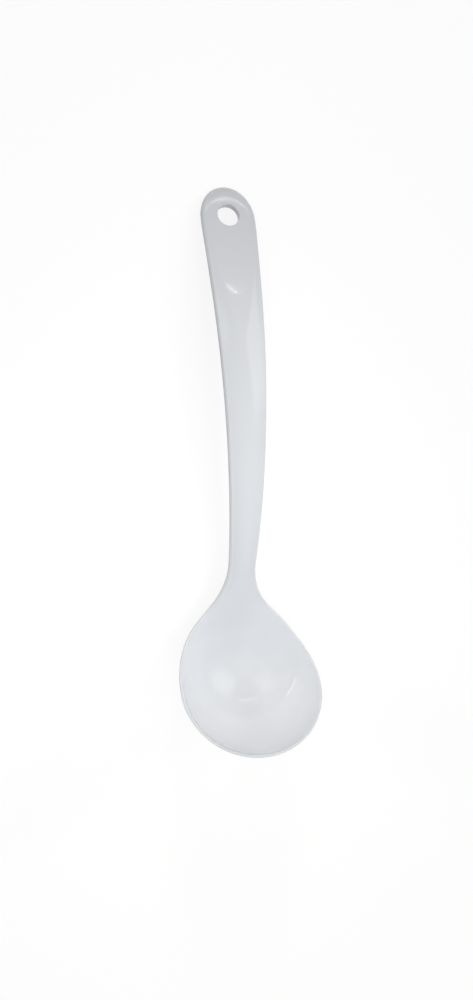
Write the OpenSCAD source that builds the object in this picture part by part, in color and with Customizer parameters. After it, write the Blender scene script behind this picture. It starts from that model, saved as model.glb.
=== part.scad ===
// Serving ladle: a thin-walled round bowl that flows through a narrow neck into an
// arched handle with a rounded, pierced end. It lies on a table, bowl towards -Y,
// handle towards +Y, mirror plane at X = 0, and touches the table with the bowl's
// underside and the handle's end. All sizes are in millimetres.
//
// The ladle is described as one sheet, halfway through its thickness. "Along" is the
// length along the sheet's edge, from the bowl's widest place: negative towards the
// pouring tip, positive towards the handle. "Across" runs from -1 to 1, edge to edge.

/* [Bowl] */
// outside diameter of the rim's round front
rim_d = 69; // [54:1:84]
// depth from the rim down to the inside of the bottom
bowl_depth = 23.6; // [18:0.2:32]
// share of a half ellipsoid's width that the bowl takes: the smaller, the more its wall flares
bowl_share = 0.945; // [0.88:0.005:0.99]
// wall of the bowl at its bottom
wall = 2.6; // [2:0.1:4]
// thickness of the bowl's rim, towards which the wall thins
rim_t = 1.2; // [1:0.1:3]
// outside radius of each flank of the rim, from the widest place towards the neck
flank_r = 50.5; // [44:0.5:58]

/* [Neck] */
// narrowest outside width
neck_w = 13.4; // [10:0.2:20]
// length along the edge from the bowl's widest place to the narrowest place
neck_reach = 67; // [63:0.5:90]
// angle between the rim and the handle where it rises from the bowl
neck_turn = 72.5; // [65:0.5:80]
// radius with which the edge turns up from the rim into the handle
neck_bend_r = 18.8; // [14:0.2:24]
// length of the zone that counts as the neck
neck_zone_len = 34; // [28:1:46]

/* [Handle] */
// length along the handle from the narrowest place to the rounded end
handle_len = 159; // [110:0.5:220]
// outside width where the rounded end starts
handle_w = 25.2; // [20:0.2:32]
// radius of the handle's arch, halfway through its thickness
handle_bend_r = 205; // [170:5:400]
// radius of the flatter arch in which the handle ends
end_bend_r = 500; // [250:10:1200]
// length of that flatter arch, up to the handle's end
end_bend_len = 51; // [30:1:80]
// thickness in the middle of the handle
handle_t = 6.2; // [5:0.1:8]
// thickness of the handle's rounded edge
edge_t = 3.2; // [2.6:0.1:4.4]

/* [Flats] */
// length of the flat on each face, from where it leaves the crown to the handle's end
flat_len = 72; // [50:1:100]
// distance from the handle's end at which the flats are as wide as the handle
flat_full = 18; // [10:1:40]
// softness of the flats' borders
flat_soft = 0.3; // [0.1:0.05:0.6]

/* [Hanging end] */
// length of the rounded end
end_len = 16; // [11:0.2:22]
// diameter of the hanging hole
hole_d = 9.8; // [6:0.2:12]
// distance from the hole's centre to the handle's end
hole_inset = 13.8; // [12:0.2:24]
// rounding of the hole's two edges
hole_edge_r = 0.5; // [0.4:0.1:1.2]
// length of the zone that counts as the hanging end
end_zone_len = 42; // [36:1:60]

/* [Hidden] */
$fn = 96;
melamine_white = [0.85, 0.86, 0.88];

// the sheet halfway through the bowl's wall: the lower cap of an ellipsoid centred over the rim
rim_r = rim_d / 2;
sheet_r = rim_r - rim_t / 2;
cap_cut = sqrt(1 - pow(bowl_share, 2));
cap_r = sheet_r / bowl_share;
cap_h = bowl_depth / (1 - cap_cut);
cap_z = cap_h * cap_cut;

// the handle's line touches the bowl's back wall, and the edge's turn joins rim and line
line_at_centre = norm([cap_r, cap_h / tan(neck_turn)]);
line_foot = line_at_centre - cap_z / tan(neck_turn);
turn_start = line_foot - neck_bend_r * tan(neck_turn / 2);
turn_end = turn_start + neck_bend_r * neck_turn * PI / 180;
touch_y = cap_r * cap_r / line_at_centre;
touch_z = cap_z - (line_at_centre - touch_y) * tan(neck_turn);
touch_turn = atan2(touch_y - turn_start, neck_bend_r - touch_z);

// plan outline: the flank's arc runs into a hollow arc that ends at the neck
neck_half = neck_w / 2;
hollow_rise = neck_half - rim_r + flank_r;
hollow_r = (pow(neck_reach, 2) + pow(hollow_rise, 2) - pow(flank_r, 2)) / (2 * (rim_r - neck_half));
flank_end = neck_reach * flank_r / (flank_r + hollow_r);

// places along the sheet
end_start = neck_reach + handle_len;
end_tip = end_start + end_len;
hole_at = end_tip - hole_inset;
flatter_from = end_tip - end_bend_len;
sheet_end_len = end_len - edge_t / 2;
sheet_end_half = (handle_w - edge_t) / 2;

// where one zone of the moulding hands over to the next
neck_from = turn_end;
handle_from = turn_end + neck_zone_len;
end_from = end_tip - end_zone_len;

// fineness of the lofted skin
across_steps = 20;
nose_steps = 6;
front_steps = 16;
back_steps = 14;
neck_steps = 9;
handle_steps = 15;
end_steps = 8;
round_steps = 10;
corner_steps = 3;
pole_angle = 3;
nudge = 0.002;

// share of the rounded end past which a ring is so short that its points gather at its edges
gather_from = 0.99;
// arc of the hole's rounded edges, which meet the handle's faces at an angle
edge_sweep = 60;
// how far the hole's cutter stands out of the handle
cutter_clear = 2;

// smooth step from 0 to 1
function ease(t) = let (c = min(max(t, 0), 1)) c * c * (3 - 2 * c);
function mix(a, b, t) = a + (b - a) * t;
function unit(v) = v / norm(v);

// the edge in the side view: its slope, place, direction and upward normal
function turned(along) = min(max((along - turn_start) / neck_bend_r * 180 / PI, 0), neck_turn);
function arched(along) =
    neck_turn - max(min(along, flatter_from) - turn_end, 0) / handle_bend_r * 180 / PI;
function levelled(along) = arched(along) - max(along - flatter_from, 0) / end_bend_r * 180 / PI;
function slope(along) = along < turn_end ? turned(along) : levelled(along);
function edge_y(along) = min(along, turn_start) + neck_bend_r * sin(turned(along))
    + handle_bend_r * (sin(neck_turn) - sin(arched(along)))
    + end_bend_r * (sin(arched(along)) - sin(levelled(along)));
function edge_z(along) = neck_bend_r * (1 - cos(turned(along)))
    + handle_bend_r * (cos(arched(along)) - cos(neck_turn))
    + end_bend_r * (cos(levelled(along)) - cos(arched(along)));
function forward(along) = [0, cos(slope(along)), sin(slope(along))];
function upward(along) = [0, -sin(slope(along)), cos(slope(along))];

// thickness of the edge and of the middle, from the bowl to the handle
function thicken(along) = ease((along - turn_start) / (neck_reach - turn_start));
function edge_thick(along) = mix(rim_t, edge_t, thicken(along));
function middle_thick(along) = mix(wall, handle_t, thicken(along));

// half width of the sheet
function outline(along) =
    along < flank_end ? rim_r - flank_r + sqrt(pow(flank_r, 2) - pow(along, 2))
    : along < neck_reach ? neck_half + hollow_r - sqrt(pow(hollow_r, 2) - pow(neck_reach - along, 2))
    : mix(neck_half, handle_w / 2, (along - neck_reach) / handle_len);
function round_part(along) = max(along - end_start, 0) / sheet_end_len;
function half_width(along) =
    along < 0 ? sqrt(pow(sheet_r, 2) - pow(along, 2))
    : along < end_start ? outline(along) - edge_thick(along) / 2
    : sheet_end_half * sqrt(max(1 - pow(round_part(along), 2), 0));

// depth of the cap at a distance from its middle
function cap_depth(distance) = cap_h * sqrt(1 - pow(distance / cap_r, 2)) - cap_z;

// depth of the sheet's middle line under its edge
function back_wall_ray(turn) = let (
    drop = neck_bend_r - cap_z,
    a = pow(sin(turn) / cap_r, 2) + pow(cos(turn) / cap_h, 2),
    b = turn_start * sin(turn) / pow(cap_r, 2) - drop * cos(turn) / pow(cap_h, 2),
    c = pow(turn_start / cap_r, 2) + pow(drop / cap_h, 2) - 1
) (sqrt(b * b - a * c) - b) / a;
function handle_line_ray(turn) = neck_bend_r / cos(neck_turn - turn);
function keel(along) =
    along < turn_start ? cap_depth(along)
    : along >= turn_end ? 0
    : let (turn = turned(along))
        (turn < touch_turn ? back_wall_ray(turn) : handle_line_ray(turn)) - neck_bend_r;

// the sheet: the cap up to the bowl's widest place, then across it the cap's own round section,
// which becomes a parabola at the neck
function hollow(along, across) =
    along < 0 ? cap_depth(norm([along, half_width(along) * across]))
    : keel(along) * mix(cap_depth(sheet_r * across) / bowl_depth, 1 - across * across,
        ease(along / turn_end));
function sheet(along, across) =
    [half_width(along) * across, edge_y(along), edge_z(along)] - upward(along) * hollow(along, across);

// the sheet's own directions: along it, across it, out of its hollow side, out of its edge
function sheet_across(along, across) =
    sheet(along, min(across + nudge, 1)) - sheet(along, max(across - nudge, -1));
function sheet_along(along, across) = along >= turn_end ? forward(along)
    : sheet(along + nudge, across) - sheet(along - nudge, across);
function sheet_up(along, across) = along > 0
    ? unit(cross(sheet_across(along, across), sheet_along(along, across)))
    : let (p = sheet(along, across))
        -unit([p.x / pow(cap_r, 2), p.y / pow(cap_r, 2), (p.z - cap_z) / pow(cap_h, 2)]);
function edge_out(along, side) =
    along <= 0 ? let (p = sheet(along, side)) unit([p.x * cap_z, p.y * cap_z, pow(cap_h * bowl_share, 2)])
    : along > end_start ? let (turn = asin(round_part(along)))
        unit([side * cos(turn) / sheet_end_half, 0, 0] + forward(along) * sin(turn) / sheet_end_len)
    : let (up = sheet_up(along, side), out = side * sheet_across(along, side))
        unit(out - up * (out * up));

// half of the thickness: it grows from the rim to the bowl's bottom, is crowned across the handle,
// and is flattened on both faces towards the handle's end
function bulge(along, across) = along < 0
    ? max(1 - pow(norm([along, half_width(along) * across]) / sheet_r, 2), 0)
    : (1 - across * across) * max(1 - pow(round_part(along), 2), 0);
function crown(along, across) = mix(edge_thick(along), middle_thick(along), bulge(along, across)) / 2;
function flatness(along) = ease((along - end_tip + flat_len) / (flat_len - flat_full));
function face(along, across) = let (
    round = crown(along, across),
    flat = mix(handle_t, edge_t, flatness(along)) / 2
) (round + flat - norm([round - flat, flat_soft * flatness(along)])) / 2;

// one closed ring round the sheet: underside, right edge, hollow side, left edge
function spread(along, t) = round_part(along) > gather_from ? 1
    : mix(sin(90 * t), t, ease(along / turn_end));
function under_point(along, across) =
    sheet(along, across) - sheet_up(along, across) * face(along, across);
function upper_point(along, across) =
    sheet(along, across) + sheet_up(along, across) * face(along, across);
function nose_point(along, side, angle) = sheet(along, side) + edge_thick(along) / 2
    * (edge_out(along, side) * cos(angle) + sheet_up(along, side) * sin(angle));
function right_half(along) = concat(
    [for (i = [0 : across_steps / 2]) under_point(along, spread(along, i / (across_steps / 2)))],
    [for (i = [1 : nose_steps - 1]) nose_point(along, 1, -90 + 180 * i / nose_steps)],
    [for (i = [across_steps / 2 : -1 : 0]) upper_point(along, spread(along, i / (across_steps / 2)))]);
function ring(along) = let (half = right_half(along), last = len(half) - 1) concat(
    half,
    [for (i = [last - 1 : -1 : 1]) [-half[i].x, half[i].y, half[i].z]]);

// places of the rings in each zone
function even(from, to, steps) = [for (i = [0 : steps]) mix(from, to, i / steps)];
function bowl_places() = concat(
    [for (i = [0 : front_steps]) -sheet_r * cos(mix(pole_angle, 90, i / front_steps))],
    [for (i = [1 : back_steps]) turn_end * i / back_steps]);
function end_places() = concat(
    even(end_from, end_start, end_steps),
    [for (i = [1 : round_steps]) end_start + sheet_end_len * sin((90 - pole_angle) * i / round_steps)]);

// tilt at which the bowl's underside and the handle's end both touch the table
sheet_tip = end_start + sheet_end_len;
function bowl_reach(tilt) = norm([cap_r * sin(tilt), cap_h * cos(tilt)]) - cap_z * cos(tilt) + wall / 2;
function end_reach(tilt) = edge_y(sheet_tip) * sin(tilt) - edge_z(sheet_tip) * cos(tilt) + edge_t / 2;
function rest_tilt(low, high, rounds) = let (middle = (low + high) / 2)
    rounds == 0 ? middle
    : end_reach(middle) < bowl_reach(middle) ? rest_tilt(middle, high, rounds - 1)
    : rest_tilt(low, middle, rounds - 1);
tilt = rest_tilt(0, 90, 40);
front_y = cap_z * sin(tilt) - norm([cap_r * cos(tilt), cap_h * sin(tilt)]) - wall / 2;
end_y = edge_y(sheet_tip) * cos(tilt) + edge_z(sheet_tip) * sin(tilt) + edge_t / 2;

// from the bowl's own place, rim level, to the table
module lay_down() {
    translate([0, -(front_y + end_y) / 2, bowl_reach(tilt)])
        rotate([-tilt, 0, 0])
            children();
}

// skin over a row of rings. An end that has come to a point is closed from side to side,
// an end where the sheet goes on is closed through its thickness.
module loft(places, point_first = false, point_last = false) {
    rings = [for (along = places) ring(along)];
    count = len(rings[0]);
    last = len(rings) - 1;
    half = count / 2;
    steps = across_steps / 2;
    sides = [
        for (j = [0 : last - 1], i = [0 : count - 1])
            let (a = j * count + i, b = j * count + (i + 1) % count)
                each [[a, b, b + count], [a, b + count, a + count]]
    ];
    side_to_side = [
        for (i = [0 : half - 1])
            let (far = (count - i) % count, near = count - i - 1)
                i == 0 ? [0, 1, near]
                : i + 1 == near ? [i, near, far]
                : [i, i + 1, near, far]
    ];
    through = concat(
        [for (i = [0 : steps - 1]) [i, i + 1, half - i - 1, half - i]],
        [for (i = [0 : steps - 1]) [half + i, half + i + 1, count - i - 1, (count - i) % count]],
        [[for (i = [steps : half - steps]) i], [for (i = [half + steps : count - steps]) i]]);
    first_cap = [for (f = point_first ? side_to_side : through) [for (k = [len(f) - 1 : -1 : 0]) f[k]]];
    last_cap = [for (f = point_last ? side_to_side : through) [for (k = f) k + last * count]];
    polyhedron([for (r = rings) each r], concat(sides, first_cap, last_cap));
}

// hanging hole with both of its edges rounded over
module hole_cutter() {
    hole_r = hole_d / 2;
    half = face(hole_at, 0);
    rise = hole_edge_r * sin(edge_sweep);
    lip_r = hole_r + hole_edge_r * (1 - cos(edge_sweep));
    corner = [
        for (i = [0 : corner_steps])
            let (angle = edge_sweep * i / corner_steps)
                [hole_r + hole_edge_r * (1 - cos(angle)), hole_edge_r * sin(angle) - rise]
    ];
    flare = [[lip_r + cutter_clear * tan(edge_sweep), cutter_clear], [0, cutter_clear]];
    mouth = concat(corner, flare);
    translate([0, edge_y(hole_at), edge_z(hole_at)])
        rotate([slope(hole_at), 0, 0])
            rotate_extrude()
                polygon(concat(
                    [for (p = mouth) [p.x, half + p.y]],
                    [for (i = [len(mouth) - 1 : -1 : 0]) [mouth[i].x, -half - mouth[i].y]]));
}

// round bowl with its shoulders, up to where the sheet has become flat
module bowl() {
    color(melamine_white)
        lay_down()
            loft(bowl_places(), point_first = true);
}

// narrow, thickening link between bowl and handle
module neck() {
    color(melamine_white)
        lay_down()
            loft(even(neck_from, handle_from, neck_steps));
}

// arched handle, crowned on both faces and widening towards its end
module handle() {
    color(melamine_white)
        lay_down()
            loft(even(handle_from, end_from, handle_steps));
}

// rounded, flattened end with the hanging hole
module hanging_end() {
    color(melamine_white)
        lay_down()
            difference() {
                loft(end_places(), point_last = true);
                hole_cutter();
            }
}

bowl();
neck();
handle();
hanging_end();
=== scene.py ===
import math

import bmesh
import bpy
from mathutils import Matrix, Vector


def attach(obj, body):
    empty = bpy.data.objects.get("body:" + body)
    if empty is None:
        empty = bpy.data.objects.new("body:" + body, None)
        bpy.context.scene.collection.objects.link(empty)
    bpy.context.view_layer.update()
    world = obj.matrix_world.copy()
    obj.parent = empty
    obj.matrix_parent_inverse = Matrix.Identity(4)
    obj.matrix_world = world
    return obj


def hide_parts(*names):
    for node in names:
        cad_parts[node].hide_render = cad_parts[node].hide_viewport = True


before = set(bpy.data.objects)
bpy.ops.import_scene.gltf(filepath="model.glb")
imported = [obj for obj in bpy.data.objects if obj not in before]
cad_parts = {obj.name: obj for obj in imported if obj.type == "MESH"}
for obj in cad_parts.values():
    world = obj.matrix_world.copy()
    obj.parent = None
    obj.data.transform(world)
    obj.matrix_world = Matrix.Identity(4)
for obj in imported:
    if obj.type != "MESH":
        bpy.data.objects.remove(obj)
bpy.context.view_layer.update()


# Bowl. A thin round cup of white melamine, pressed in one shot with the handle.
# It starts as a sheet halfway through the wall, rim level, and only its front half
# is made here: a ball of even squares, cut in four and drawn in to the cap below the rim.
rim_r = 0.0345
wall = 0.0026
rim_t = 0.0012
bowl_depth = 0.0236
bowl_share = 0.945
sheet_r = rim_r - rim_t / 2
cap_cut = math.sqrt(1 - bowl_share**2)
cap_r = sheet_r / bowl_share
cap_h = bowl_depth / (1 - cap_cut)
cap_z = cap_h * cap_cut
rim_angle = math.acos(cap_cut)
squares_on_a_side = 16
# points closer together than this count as one
touching = 1e-6

bpy.ops.object.select_all(action="DESELECT")
bpy.ops.mesh.primitive_cube_add(size=2)
ladle = bpy.context.object
ladle.name = "ladle"
bpy.ops.object.mode_set(mode="EDIT")
bpy.ops.mesh.subdivide(number_cuts=squares_on_a_side - 1)
bpy.ops.transform.tosphere(value=1)
bpy.ops.mesh.select_all(action="DESELECT")
skin = bmesh.from_edit_mesh(ladle.data)
ball_r = max(vert.co.z for vert in skin.verts)
just_past = ball_r * 0.01
for vert in skin.verts:
    vert.select = vert.co.y > just_past or vert.co.z > just_past
skin.select_flush_mode()
bpy.ops.mesh.delete(type="VERT")
skin = bmesh.from_edit_mesh(ladle.data)
for vert in skin.verts:
    around = math.atan2(vert.co.y, vert.co.x)
    from_bottom = math.atan2(vert.co.xy.length, -vert.co.z) * rim_angle / (math.pi / 2)
    vert.co = (
        cap_r * math.sin(from_bottom) * math.cos(around),
        cap_r * math.sin(from_bottom) * math.sin(around),
        cap_z - cap_h * math.cos(from_bottom))
bmesh.update_edit_mesh(ladle.data)

# every point keeps how far along the ladle's edge it lies, counted from the widest place
skin = bmesh.from_edit_mesh(ladle.data)
skin.verts.layers.float.new("along")
along_of = skin.verts.layers.float["along"]
for vert in skin.verts:
    vert[along_of] = vert.co.y
bpy.ops.mesh.select_all(action="DESELECT")
bpy.ops.mesh.select_mode(type="EDGE")
skin = bmesh.from_edit_mesh(ladle.data)
for edge in skin.edges:
    edge.select = all(abs(vert.co.y) < touching for vert in edge.verts)
skin.select_flush_mode()
bowl_columns = sorted(vert.co.x / sheet_r for vert in skin.verts if vert.select)
even_columns = [2 * k / (len(bowl_columns) - 1) - 1 for k in range(len(bowl_columns))]


# Shoulders. The back half of the bowl, still the same moulding: its rim draws in with two
# arcs towards the neck and turns up, while the hollow runs out along the handle's line.
# The edge line that all rows follow runs on to the handle's end, so its sizes stand here.
flank_r = 0.0505
neck_half = 0.0067
neck_reach = 0.067
neck_turn = math.radians(72.5)
neck_bend_r = 0.0188
handle_len = 0.159
handle_half = 0.0126
handle_t = 0.0062
edge_t = 0.0032
handle_bend_r = 0.205
end_len = 0.016
end_bend_r = 0.500
end_bend_len = 0.051
end_start = neck_reach + handle_len
end_tip = end_start + end_len
flatter_from = end_tip - end_bend_len
line_at_centre = math.hypot(cap_r, cap_h / math.tan(neck_turn))
line_foot = line_at_centre - cap_z / math.tan(neck_turn)
turn_start = line_foot - neck_bend_r * math.tan(neck_turn / 2)
turn_end = turn_start + neck_bend_r * neck_turn
touch_y = cap_r**2 / line_at_centre
touch_z = cap_z - (line_at_centre - touch_y) * math.tan(neck_turn)
touch_turn = math.atan2(touch_y - turn_start, neck_bend_r - touch_z)
hollow_rise = neck_half - rim_r + flank_r
hollow_r = (neck_reach**2 + hollow_rise**2 - flank_r**2) / (2 * (rim_r - neck_half))
flank_end = neck_reach * flank_r / (flank_r + hollow_r)


def mix(a, b, t):
    return a + (b - a) * t


def ease(t):
    t = min(max(t, 0), 1)
    return t * t * (3 - 2 * t)


def turned(along):
    """How far the edge line has turned up behind the bowl."""
    return min(max((along - turn_start) / neck_bend_r, 0), neck_turn)


def arched(along):
    """How far it leans up on the handle's arch, which stops where the end gets flatter."""
    return neck_turn - max(min(along, flatter_from) - turn_end, 0) / handle_bend_r


def levelled(along):
    """The same lean, carried on over the flatter end."""
    return arched(along) - max(along - flatter_from, 0) / end_bend_r


def edge_place(along, x=0):
    """A point of the ladle's edge line in the side view, set out sideways by x."""
    turn, lean, end_lean = turned(along), arched(along), levelled(along)
    return Vector((
        x,
        min(along, turn_start) + neck_bend_r * math.sin(turn)
        + handle_bend_r * (math.sin(neck_turn) - math.sin(lean))
        + end_bend_r * (math.sin(lean) - math.sin(end_lean)),
        neck_bend_r * (1 - math.cos(turn))
        + handle_bend_r * (math.cos(lean) - math.cos(neck_turn))
        + end_bend_r * (math.cos(end_lean) - math.cos(lean))))


def slope(along):
    return turned(along) if along < turn_end else levelled(along)


def forward(along):
    return Vector((0, math.cos(slope(along)), math.sin(slope(along))))


def upward(along):
    return Vector((0, -math.sin(slope(along)), math.cos(slope(along))))


def thicken(along):
    """How much of the step from the bowl's wall to the handle's body is done."""
    return ease((along - turn_start) / (neck_reach - turn_start))


def edge_thick(along):
    return mix(rim_t, edge_t, thicken(along))


def cap_depth(distance):
    """How deep the bowl's cap lies under the rim, at a distance from its middle."""
    return cap_h * math.sqrt(1 - (distance / cap_r) ** 2) - cap_z


def hollow_depth(along):
    """How deep the sheet's middle lies under its edge."""
    if along < turn_start:
        return cap_depth(along)
    turn = turned(along)
    if turn >= touch_turn:
        return neck_bend_r / math.cos(neck_turn - turn) - neck_bend_r
    drop = neck_bend_r - cap_z
    a = (math.sin(turn) / cap_r) ** 2 + (math.cos(turn) / cap_h) ** 2
    b = turn_start * math.sin(turn) / cap_r**2 - drop * math.cos(turn) / cap_h**2
    c = (turn_start / cap_r) ** 2 + (drop / cap_h) ** 2 - 1
    return (math.sqrt(b * b - a * c) - b) / a - neck_bend_r


def shoulder_half(along):
    """Half of the outside width, from the widest place to the narrowest."""
    if along < flank_end:
        return rim_r - flank_r + math.sqrt(flank_r**2 - along**2)
    return neck_half + hollow_r - math.sqrt(hollow_r**2 - (neck_reach - along) ** 2)


def shoulder_row(along):
    """Points of one row across, round in the bowl and flatter towards the neck."""
    half = shoulder_half(along) - edge_thick(along) / 2
    blend = ease(along / turn_end)
    for bowl_column, even_column in zip(bowl_columns, even_columns):
        across = mix(bowl_column, even_column, blend)
        section = mix(cap_depth(sheet_r * across) / bowl_depth, 1 - across**2, blend)
        sunk = upward(along) * hollow_depth(along) * section
        yield edge_place(along, half * across) - sunk, along


def add_row(points):
    """Draws the sheet's open end out by one row and sets its points in place."""
    bpy.ops.mesh.extrude_edges_move()
    skin = bmesh.from_edit_mesh(ladle.data)
    along_of = skin.verts.layers.float["along"]
    row = sorted((vert for vert in skin.verts if vert.select), key=lambda vert: vert.co.x)
    for vert, (place, along) in zip(row, points):
        vert.co = place
        vert[along_of] = along
    bmesh.update_edit_mesh(ladle.data)


flat_rows = 5
turning_rows = 9
for step in range(1, flat_rows + 1):
    add_row(shoulder_row(turn_start * step / flat_rows))
for step in range(1, turning_rows + 1):
    add_row(shoulder_row(mix(turn_start, turn_end, step / turning_rows)))


# Neck. The narrow link behind the bowl, where the thin wall grows into the handle's body.
# Same melamine, no joint line: its rows follow the last row of the shoulders.
neck_zone_len = 0.034
handle_from = turn_end + neck_zone_len
neck_rows = 9


def straight_row(along, half):
    for across in even_columns:
        yield edge_place(along, half * across), along


def strip_half(along):
    """Half of the sheet's width in the neck and the handle, inside its rounded edge."""
    if along < neck_reach:
        return shoulder_half(along) - edge_thick(along) / 2
    return mix(neck_half, handle_half, (along - neck_reach) / handle_len) - edge_t / 2


for step in range(1, neck_rows + 1):
    along = mix(turn_end, handle_from, step / neck_rows)
    add_row(straight_row(along, strip_half(along)))


# Handle. A slim arched bar of the same melamine that widens towards its end and is crowned on
# both faces. The sheet is still flat across here: the crown comes with the thickness.
end_zone_len = 0.042
end_from = end_tip - end_zone_len
handle_rows = 28
for step in range(1, handle_rows + 1):
    along = mix(handle_from, end_from, step / handle_rows)
    add_row(straight_row(along, strip_half(along)))


# Hanging end. The rounded end with a hole moulded through it for a hook. The rows close
# round the hole like the lower half of an eye, and its upper half is spun from their ends.
hole_r = 0.0049
hole_inset = 0.0138
hole_at = end_tip - hole_inset
hole_edge = 0.0007
tip_round = 0.0033
end_half = handle_half - edge_t / 2
tip_len = end_len - tip_round
closing_rows = 7
eye_radii = (0.0091, 0.0077, 0.0067, 0.0060, 0.0055, 0.0052, 0.0050, hole_r)


def end_edge_half(along):
    """Half of the sheet's width up to its tip: straight sides, then half an ellipse."""
    if along < end_start:
        return strip_half(along)
    return end_half * math.sqrt(1 - ((along - end_start) / tip_len) ** 2)


def closing_row(share):
    """A row between the handle's last straight row and the half circle round the hole."""
    half = end_edge_half(mix(end_from, hole_at, share))
    for across in even_columns:
        angle = across * math.pi / 2
        along = mix(end_from, hole_at - end_half * math.cos(angle), share)
        yield edge_place(along, half * mix(across, math.sin(angle), share)), along


def eye_row(radius):
    for across in even_columns:
        angle = across * math.pi / 2
        along = hole_at - radius * math.cos(angle)
        yield edge_place(along, radius * math.sin(angle)), along


for step in range(1, closing_rows + 1):
    add_row(closing_row(step / closing_rows))
for radius in eye_radii:
    add_row(eye_row(radius))

hole_centre = edge_place(hole_at)
bpy.ops.mesh.select_all(action="DESELECT")
skin = bmesh.from_edit_mesh(ladle.data)
for edge in skin.edges:
    edge.select = all(
        vert.co.x > hole_r * 0.9 and abs(vert.co.y - hole_centre.y) < touching
        and abs(vert.co.z - hole_centre.z) < touching for vert in edge.verts)
skin.select_flush_mode()
bpy.ops.mesh.spin(
    steps=len(even_columns) - 1, angle=math.pi, center=hole_centre, axis=-upward(hole_at))
bpy.ops.mesh.select_all(action="SELECT")
bpy.ops.mesh.remove_doubles(threshold=touching)

# the spun half is drawn out to the end's outline and laid on the handle's arch
skin = bmesh.from_edit_mesh(ladle.data)
along_of = skin.verts.layers.float["along"]
turn_at_hole = math.asin((hole_at - end_start) / tip_len)
spun_r = end_edge_half(hole_at)
for vert in skin.verts:
    beyond = (vert.co - hole_centre).dot(forward(hole_at))
    if beyond > touching:
        around = math.atan2(beyond, abs(vert.co.x))
        turn = mix(turn_at_hole, math.pi / 2, around / (math.pi / 2))
        share = (math.hypot(vert.co.x, beyond) - hole_r) / (spun_r - hole_r)
        side = mix(hole_r * math.cos(around), end_half * math.cos(turn), share)
        on_hole = hole_at + hole_r * math.sin(around)
        along = mix(on_hole, end_start + tip_len * math.sin(turn), share)
        vert.co = edge_place(along, math.copysign(side, vert.co.x))
        vert[along_of] = along
bmesh.update_edit_mesh(ladle.data)
bpy.ops.mesh.select_all(action="SELECT")
bpy.ops.mesh.normals_make_consistent(inside=False)
bpy.ops.object.mode_set(mode="OBJECT")


# Edge and thickness of the moulding. The mould closes along the middle of the edge, which is
# rounded over from both sides. The bowl's wall thins to its rim, the handle is thickest in
# its middle, and a long flat on each face takes the crown off towards the end.
flat_len = 0.072
flat_full = 0.018
flat_soft = 0.0003
lip_depth = 0.75 * hole_edge
tip_droop = 0.12
edge_steps = 3
# a smoothed half round of these steps falls short of its corners by this factor
edge_gain = 3 / (2 + math.cos(math.pi / 2 / edge_steps))

finer = ladle.modifiers.new("finer", "SUBSURF")
finer.levels = finer.render_levels = 1
bpy.ops.object.modifier_apply(modifier=finer.name)


def round_part(along):
    return max(along - end_start, 0) / tip_len


def edge_width(along):
    """How far the rounded edge reaches out of the sheet."""
    return mix(edge_thick(along) / 2, tip_round, min(round_part(along), 1) ** 2)


def face_half(along, x):
    """Half of the thickness: thin at the rim, crowned on the handle, flat towards its end."""
    if along <= 0:
        return mix(rim_t, wall, max(1 - (x**2 + along**2) / sheet_r**2, 0)) / 2
    half = strip_half(along) if along < end_start else end_half
    bulge = max(1 - (x / half) ** 2 - round_part(along) ** 2, 0)
    crown = mix(edge_thick(along), mix(wall, handle_t, thicken(along)), bulge) / 2
    flatness = ease((along - end_tip + flat_len) / (flat_len - flat_full))
    flat = mix(handle_t, edge_t, flatness) / 2
    return (crown + flat - math.hypot(crown - flat, flat_soft * flatness)) / 2


def hole_drop(along, x):
    """How much of the thickness the rounded lip of the hole takes off each face."""
    inside = (hole_r + hole_edge - math.hypot(x, along - hole_at)) / hole_edge
    return lip_depth * (1 - math.sqrt(max(1 - min(max(inside, 0), 1) ** 2, 0)))


bpy.ops.object.mode_set(mode="EDIT")
bpy.ops.mesh.select_all(action="DESELECT")
skin = bmesh.from_edit_mesh(ladle.data)
skin.verts.layers.float_vector.new("outward")
skin.verts.layers.float.new("edge_turn")
outward_of = skin.verts.layers.float_vector["outward"]
for edge in skin.edges:
    from_hole = (edge.verts[0].co - hole_centre).length
    edge.select = edge.is_boundary and from_hole > 2 * hole_edge + hole_r
skin.select_flush_mode()
skin.normal_update()
for vert in skin.verts:
    if vert.select:
        ends = [edge.other_vert(vert).co for edge in vert.link_edges if edge.is_boundary]
        run = (ends[1] - ends[0]).normalized()
        inner = [edge.other_vert(vert).co for edge in vert.link_edges if not edge.is_boundary]
        way = vert.co * len(inner) - sum(inner, Vector())
        way -= run * way.dot(run)
        way -= vert.normal * way.dot(vert.normal)
        vert[outward_of] = way.normalized()
for step in range(1, edge_steps + 1):
    turn = math.pi / 2 * step / edge_steps
    turn_before = math.pi / 2 * (step - 1) / edge_steps
    bpy.ops.mesh.extrude_edges_move()
    skin = bmesh.from_edit_mesh(ladle.data)
    along_of = skin.verts.layers.float["along"]
    turn_of = skin.verts.layers.float["edge_turn"]
    outward_of = skin.verts.layers.float_vector["outward"]
    for vert in skin.verts:
        if vert.select:
            reach = edge_width(vert[along_of]) * edge_gain
            vert.co += vert[outward_of] * reach * (math.sin(turn) - math.sin(turn_before))
            vert[turn_of] = turn
    bmesh.update_edit_mesh(ladle.data)

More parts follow.
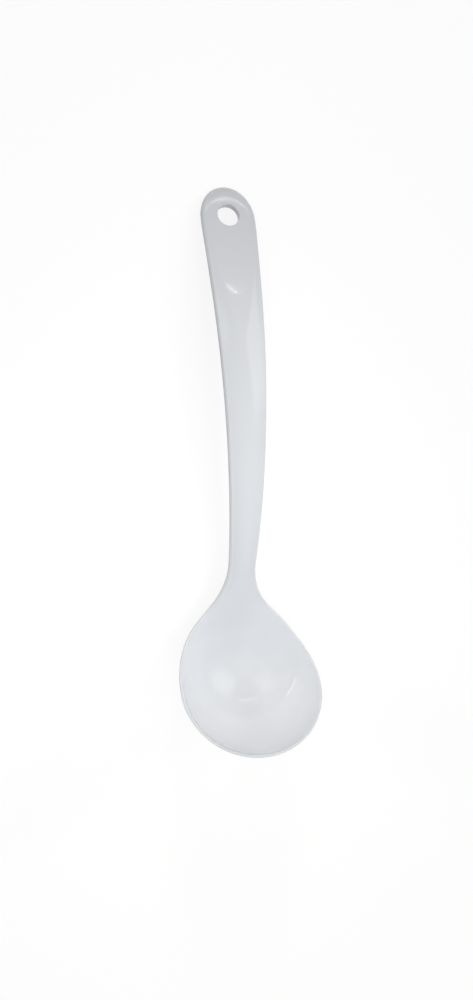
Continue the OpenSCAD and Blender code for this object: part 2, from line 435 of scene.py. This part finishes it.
# the sheet is set between its two faces, and each point keeps its share of the thickness
skin = bmesh.from_edit_mesh(ladle.data)
skin.normal_update()
along_of = skin.verts.layers.float["along"]
turn_of = skin.verts.layers.float["edge_turn"]
thickness_shares = []
moves = []
for vert in skin.verts:
    along, x, turn = vert[along_of], vert.co.x, vert[turn_of]
    half = face_half(along, x) - hole_drop(along, x)
    fall = math.cos(turn)
    droop = tip_droop * math.sin(2 * turn) * min(round_part(along), 1)
    under = half * fall
    top = half * (fall - droop)
    if turn:
        top, under = top * edge_gain, under * edge_gain
    thickness_shares.append((top + under) / handle_t)
    moves.append(vert.normal * (top - under) / 2)
for vert, move in zip(skin.verts, moves):
    vert.co += move
bmesh.update_edit_mesh(ladle.data)
bpy.ops.object.mode_set(mode="OBJECT")
thickness = ladle.vertex_groups.new(name="thickness")
for index, share in enumerate(thickness_shares):
    thickness.add([index], max(share, 0), "REPLACE")

body = ladle.modifiers.new("body", "SOLIDIFY")
body.thickness = handle_t
body.offset = 0
body.vertex_group = "thickness"
body.use_quality_normals = True
bpy.ops.object.modifier_apply(modifier=body.name)
bpy.ops.object.mode_set(mode="EDIT")
bpy.ops.mesh.select_all(action="SELECT")
bpy.ops.mesh.remove_doubles(threshold=2 * touching)
bpy.ops.mesh.normals_make_consistent(inside=False)

# laid on the table: the bowl's underside and the handle's end both touch it
lying_tilt = math.radians(48.40447)
lying_shift = -0.099334
lying_lift = 0.029207
bpy.ops.transform.rotate(value=lying_tilt, orient_axis="X", center_override=(0, 0, 0))
bpy.ops.transform.translate(value=(0, lying_shift, lying_lift))
bpy.ops.object.mode_set(mode="OBJECT")
smooth = ladle.modifiers.new("smooth", "SUBSURF")
smooth.levels = smooth.render_levels = 1
bpy.ops.object.modifier_apply(modifier=smooth.name)
bpy.ops.object.shade_smooth()


# Finish. Melamine is a hard white resin, glossy as it leaves the polished mould: a trace of
# blue, a faint unevenness in the gloss, fine wipe marks, and a duller line along the used edge.
cool_white = (0.800, 0.826, 0.866, 1)
pale_white = (0.820, 0.845, 0.884, 1)
worn_white = (0.75, 0.77, 0.80, 1)
melamine = bpy.data.materials.new("white_melamine")
melamine.use_nodes = True
tree = melamine.node_tree
shader = tree.nodes["Principled BSDF"]
shader.inputs["IOR"].default_value = 1.6


def add_node(kind, **settings):
    """A node in the current tree, with its sockets or its own settings filled in."""
    node = tree.nodes.new(kind)
    for name, value in settings.items():
        if name in node.inputs:
            node.inputs[name].default_value = value
        else:
            setattr(node, name, value)
    return node


def join(output, target):
    tree.links.new(output, target)


on_piece = add_node("ShaderNodeTexCoord").outputs["Object"]
clouds = add_node("ShaderNodeTexNoise", Scale=22, Detail=3)
join(on_piece, clouds.inputs["Vector"])
whites = add_node("ShaderNodeMix", data_type="RGBA")
whites.inputs["A"].default_value = cool_white
whites.inputs["B"].default_value = pale_white
join(clouds.outputs["Fac"], whites.inputs["Factor"])

# the edge, where the mould closed and use has worn it, is a shade duller in patches
edge_turn = add_node("ShaderNodeAttribute", attribute_name="edge_turn")
near_edge = add_node("ShaderNodeMapRange")
near_edge.inputs["From Min"].default_value = 0.3
near_edge.inputs["From Max"].default_value = 1.2
join(edge_turn.outputs["Fac"], near_edge.inputs["Value"])
patches = add_node("ShaderNodeTexNoise", Scale=140, Detail=4)
join(on_piece, patches.inputs["Vector"])
wear = add_node("ShaderNodeMath", operation="MULTIPLY")
join(near_edge.outputs["Result"], wear.inputs[0])
join(patches.outputs["Fac"], wear.inputs[1])
worn = add_node("ShaderNodeMix", data_type="RGBA")
worn.inputs["B"].default_value = worn_white
join(wear.outputs["Value"], worn.inputs["Factor"])
join(whites.outputs["Result"], worn.inputs["A"])
join(worn.outputs["Result"], shader.inputs["Base Color"])

# gloss: uneven in soft patches, broken by wipe marks that run along the ladle
soft = add_node("ShaderNodeTexNoise", Scale=60, Detail=5)
join(on_piece, soft.inputs["Vector"])
gloss = add_node("ShaderNodeMapRange")
gloss.inputs["To Min"].default_value = 0.05
gloss.inputs["To Max"].default_value = 0.10
join(soft.outputs["Fac"], gloss.inputs["Value"])
drawn = add_node("ShaderNodeMapping")
drawn.inputs["Scale"].default_value = (1500, 90, 500)
join(on_piece, drawn.inputs["Vector"])
wipes = add_node("ShaderNodeTexNoise", Scale=1, Detail=2)
join(drawn.outputs["Vector"], wipes.inputs["Vector"])
marks = add_node("ShaderNodeMapRange")
marks.inputs["From Min"].default_value = 0.62
marks.inputs["From Max"].default_value = 0.80
marks.inputs["To Max"].default_value = 0.06
join(wipes.outputs["Fac"], marks.inputs["Value"])
rough = add_node("ShaderNodeMath", operation="ADD")
join(gloss.outputs["Result"], rough.inputs[0])
join(marks.outputs["Result"], rough.inputs[1])
duller = add_node("ShaderNodeMath", operation="MULTIPLY_ADD")
duller.inputs[1].default_value = 0.25
join(wear.outputs["Value"], duller.inputs[0])
join(rough.outputs["Value"], duller.inputs[2])
join(duller.outputs["Value"], shader.inputs["Roughness"])

# the mould's polish leaves a barely waved skin
waves = add_node("ShaderNodeTexNoise", Scale=170, Detail=1)
join(on_piece, waves.inputs["Vector"])
skin_bump = add_node("ShaderNodeBump", Strength=0.05, Distance=0.0004)
join(waves.outputs["Fac"], skin_bump.inputs["Height"])
join(skin_bump.outputs["Normal"], shader.inputs["Normal"])
ladle.data.materials.append(melamine)


# Zones of the moulding. The one piece is marked off across its length into bowl, neck, handle
# and hanging end. Each is closed where it meets the next, and keeps the normals of the whole
# moulding, so the skin runs on unbroken over the marks.
skin_normal = ladle.data.attributes.new("skin_normal", "FLOAT_VECTOR", "POINT")
for vert in ladle.data.vertices:
    skin_normal.data[vert.index].vector = vert.normal
zones = {"bowl": ladle}
for zone, start in (("hanging_end", end_from), ("handle", handle_from), ("neck", turn_end)):
    bpy.ops.object.select_all(action="DESELECT")
    ladle.select_set(True)
    bpy.context.view_layer.objects.active = ladle
    bpy.ops.object.mode_set(mode="EDIT")
    bpy.ops.mesh.select_mode(type="FACE")
    bpy.ops.mesh.select_all(action="DESELECT")
    skin = bmesh.from_edit_mesh(ladle.data)
    along_of = skin.verts.layers.float["along"]
    for face in skin.faces:
        face.select = sum(vert[along_of] for vert in face.verts) / len(face.verts) > start
    bmesh.update_edit_mesh(ladle.data)
    bpy.ops.mesh.separate(type="SELECTED")
    bpy.ops.object.mode_set(mode="OBJECT")
    zones[zone] = next(piece for piece in bpy.context.selected_objects if piece is not ladle)

for zone, piece in zones.items():
    piece.name = "moulded_" + zone
    bpy.ops.object.select_all(action="DESELECT")
    piece.select_set(True)
    bpy.context.view_layer.objects.active = piece
    bpy.ops.object.mode_set(mode="EDIT")
    bpy.ops.mesh.select_all(action="SELECT")
    bpy.ops.mesh.fill_holes(sides=0)
    bpy.ops.object.mode_set(mode="OBJECT")
    shape = piece.data
    kept = shape.attributes["skin_normal"].data
    normals = [None] * len(shape.loops)
    for face in shape.polygons:
        closing = face.loop_total > 4
        for loop in face.loop_indices:
            point = shape.loops[loop].vertex_index
            normals[loop] = face.normal if closing else kept[point].vector
    shape.normals_split_custom_set(normals)
    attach(piece, "root")
    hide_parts(zone)


# Floor. A plain white table top of matt paper, wide enough to reach past every view.
# It looks white by itself, and the ladle's shadow still falls on it.
paper_grey = (0.20, 0.20, 0.20, 1)
paper_glow = (0.85, 0.85, 0.85, 1)
bpy.ops.object.select_all(action="DESELECT")
bpy.ops.mesh.primitive_plane_add(size=12, location=(0, 0, 0))
floor = bpy.context.object
floor.name = "floor"
paper = bpy.data.materials.new("white_paper")
paper.use_nodes = True
tree = paper.node_tree
tree.nodes.clear()
matt = add_node("ShaderNodeBsdfDiffuse", Color=paper_grey)
glow = add_node("ShaderNodeEmission", Color=paper_glow)
ray = add_node("ShaderNodeLightPath")
seen = add_node("ShaderNodeMath", operation="MAXIMUM")
both = add_node("ShaderNodeAddShader")
result = add_node("ShaderNodeOutputMaterial")
join(ray.outputs["Is Camera Ray"], seen.inputs[0])
join(ray.outputs["Is Glossy Ray"], seen.inputs[1])
join(seen.outputs["Value"], glow.inputs["Strength"])
join(matt.outputs["BSDF"], both.inputs[0])
join(glow.outputs["Emission"], both.inputs[1])
join(both.outputs["Shader"], result.inputs["Surface"])
floor.data.materials.append(paper)


# Light. A pale room and soft boxes: over the bowl, on both sides, low ones for the edges, and
# thin ones that the gloss mirrors as streaks. Narrow lamps, warm in the bowl, even out the
# bowl's walls, the neck and the handle.
plain_white = (1, 1, 1)
warm_white = (1, 0.96, 0.91)
in_bowl = (0, -0.105, 0.02)
room = bpy.data.worlds.new("room")
bpy.context.scene.world = room
room.use_nodes = True
walls = room.node_tree.nodes["Background"]
walls.inputs["Color"].default_value = (1, 1, 1, 1)
walls.inputs["Strength"].default_value = 0.305


def place_lamp(data, place, aim, mirrored, roll=0):
    """Hangs a lamp up, turned to its aim; if not mirrored, the gloss shows no image of it."""
    lamp = bpy.data.objects.new(data.name, data)
    lamp.location = place
    lamp.rotation_euler = (Vector(aim) - Vector(place)).to_track_quat("-Z", "Y").to_euler()
    lamp.rotation_euler.rotate_axis("Z", math.radians(roll))
    lamp.visible_glossy = mirrored
    bpy.context.scene.collection.objects.link(lamp)


def soft_box(name, wide, tall, brightness):
    """A flat lamp that looks as bright as the given level, 1 being white."""
    data = bpy.data.lights.new(name, "AREA")
    data.shape = "RECTANGLE"
    data.size, data.size_y = wide, tall
    data.energy = brightness * math.pi * wide * tall
    return data


def narrow_lamp(name, watts, cone, colour):
    """A small round lamp whose light fades out evenly towards the side of its cone."""
    data = bpy.data.lights.new(name, "SPOT")
    data.energy = watts
    data.color = colour
    data.spot_size = math.radians(cone)
    data.spot_blend = 1
    data.shadow_soft_size = 0.08
    return data


# each box: name, width, height, brightness, place, aim, mirrored or not, roll in degrees
for name, wide, tall, brightness, place, aim, mirrored, roll in (
    ("box_over_bowl", 0.8, 0.8, 0.49, (0.05, -0.28, 0.55), (0, -0.1, 0), False, 0),
    ("box_right", 0.58, 0.46, 0.95, (0.58, 0.255, 0.65), (0, -0.05, 0), True, 0),
    ("box_right_fill", 0.60, 0.56, 0.20, (0.61, 0.24, 0.63), (0, -0.05, 0), False, 0),
    ("box_left", 0.42, 0.46, 0.65, (-0.37, 0.42, 0.64), (0, -0.05, 0), True, 0),
    ("box_low_left", 0.5, 0.25, 1.05, (-0.75, 0.05, 0.18), (0, 0, 0.03), False, 0),
    ("box_front", 0.5, 0.3, 0.60, (-0.30, -0.70, 0.28), (0, -0.05, 0.03), False, 0),
    ("strip_high", 0.45, 0.026, 3.4, (0.142, 0.818, 0.503), in_bowl, True, 0),
    ("strip_low", 0.26, 0.030, 3.0, (-0.475, 0.19, 0.065), in_bowl, True, 0),
    ("glint", 0.034, 0.006, 7.0, (0.1765, 0.461, 0.449), (-0.002, 0.083, 0.02), True, -25),
):
    place_lamp(soft_box(name, wide, tall, brightness), place, aim, mirrored, roll)

# each narrow lamp: name, watts, cone in degrees, colour, place, aim
for name, watts, cone, colour, place, aim in (
    ("lamp_over_end", 6.5, 24, warm_white, (0, 0.60, 0.30), in_bowl),
    ("lamp_left", 5.0, 20, warm_white, (-0.64, 0.19, 0.26), in_bowl),
    ("lamp_right", 4.2, 20, warm_white, (0.62, 0.20, 0.32), in_bowl),
    ("lamp_on_neck", 2.8, 15, plain_white, (0.05, -0.50, 0.65), (0, -0.06, 0.04)),
    ("lamp_on_handle", 4.6, 14, plain_white, (0.30, -0.20, 0.70), (0, -0.01, 0.05)),
    ("lamp_on_flank", 1.5, 13, plain_white, (0.60, 0.05, 0.20), (0.008, 0.044, 0.04)),
):
    place_lamp(narrow_lamp(name, watts, cone, colour), place, aim, mirrored=False)


# Camera. From above, a little to the left, with the handle's end at the top of the frame.
# The columns of its matrix are its right, its top, its back and its place.
camera_data = bpy.data.cameras.new("camera")
camera_data.lens = 28.8
camera_data.sensor_width = 36
camera = bpy.data.objects.new("camera", camera_data)
bpy.context.scene.collection.objects.link(camera)
camera.matrix_world = Matrix((
    (0.95059, 0.08632, -0.29821, -0.11245),
    (-0.01883, 0.97483, 0.22216, 0.07092),
    (0.30988, -0.20557, 0.92829, 0.36099),
    (0, 0, 0, 1)))
camera_data.clip_start = 0.01
bpy.context.scene.camera = camera
bpy.context.scene.view_settings.view_transform = "Standard"
